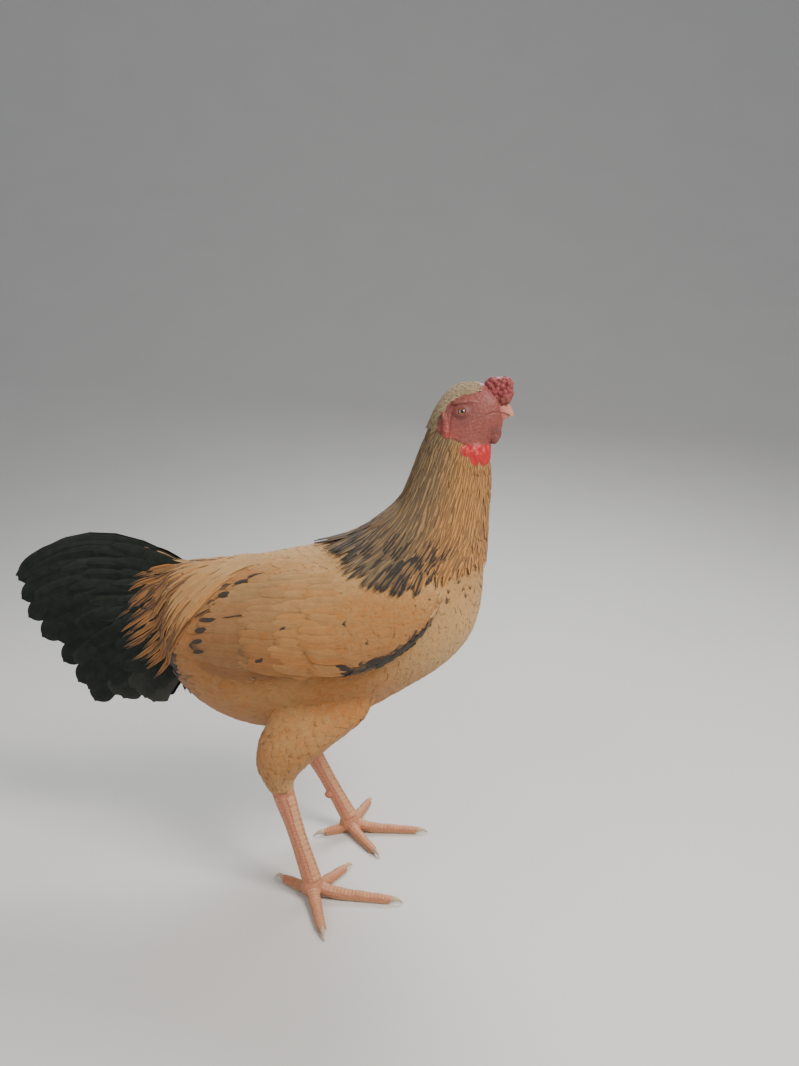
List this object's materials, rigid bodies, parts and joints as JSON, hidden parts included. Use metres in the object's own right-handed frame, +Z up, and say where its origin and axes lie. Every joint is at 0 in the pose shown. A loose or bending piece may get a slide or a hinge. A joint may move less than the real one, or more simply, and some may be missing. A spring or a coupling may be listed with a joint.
{
  "type": "poultry",
  "caption": "Still model of an aseel cock standing on both feet: upright neck with hackle, bare red face, folded wings, drooping black tail.",
  "frame": {"origin": "on the floor under the middle of the bird's length and width", "axes": "+X towards the beak, +Y to the bird's left, +Z up"},
  "size_m": [0.6275, 0.3174, 0.6126],
  "materials": {
    "cream_feather": "matt, soft overlapping feathers",
    "hackle_feather": "matt, long narrow feathers with dark middles",
    "saddle_feather": "satin, long narrow feathers with dark tips",
    "tail_feather": "satin black with a green sheen",
    "red_skin": "satin wrinkled skin",
    "comb_skin": "satin, finely bumped",
    "leg_skin": "satin scaled skin",
    "horn": "smooth horn",
    "eye": "wet gloss"
  },
  "bodies": {
    "root": {"torso": "cream_feather", "neck": "hackle_feather", "head": "red_skin", "comb": "comb_skin", "beak_upper": "horn", "beak_lower": "horn", "dewlap": "red_skin", "saddle": "saddle_feather", "tail": "tail_feather", "wattle_right": "red_skin", "ear_lobe_right": "red_skin", "eye_right": "eye", "wing_right": "cream_feather", "thigh_right": "cream_feather", "shank_right": "leg_skin", "foot_right": "leg_skin", "toe_middle_right": "leg_skin", "claw_middle_right": "horn", "toe_outer_right": "leg_skin", "claw_outer_right": "horn", "toe_inner_right": "leg_skin", "claw_inner_right": "horn", "toe_hind_right": "leg_skin", "claw_hind_right": "horn", "wattle_left": "red_skin", "ear_lobe_left": "red_skin", "eye_left": "eye", "wing_left": "cream_feather", "thigh_left": "cream_feather", "shank_left": "leg_skin", "foot_left": "leg_skin", "toe_middle_left": "leg_skin", "claw_middle_left": "horn", "toe_outer_left": "leg_skin", "claw_outer_left": "horn", "toe_inner_left": "leg_skin", "claw_inner_left": "horn", "toe_hind_left": "leg_skin", "claw_hind_left": "horn"}
  },
  "joints": []
}
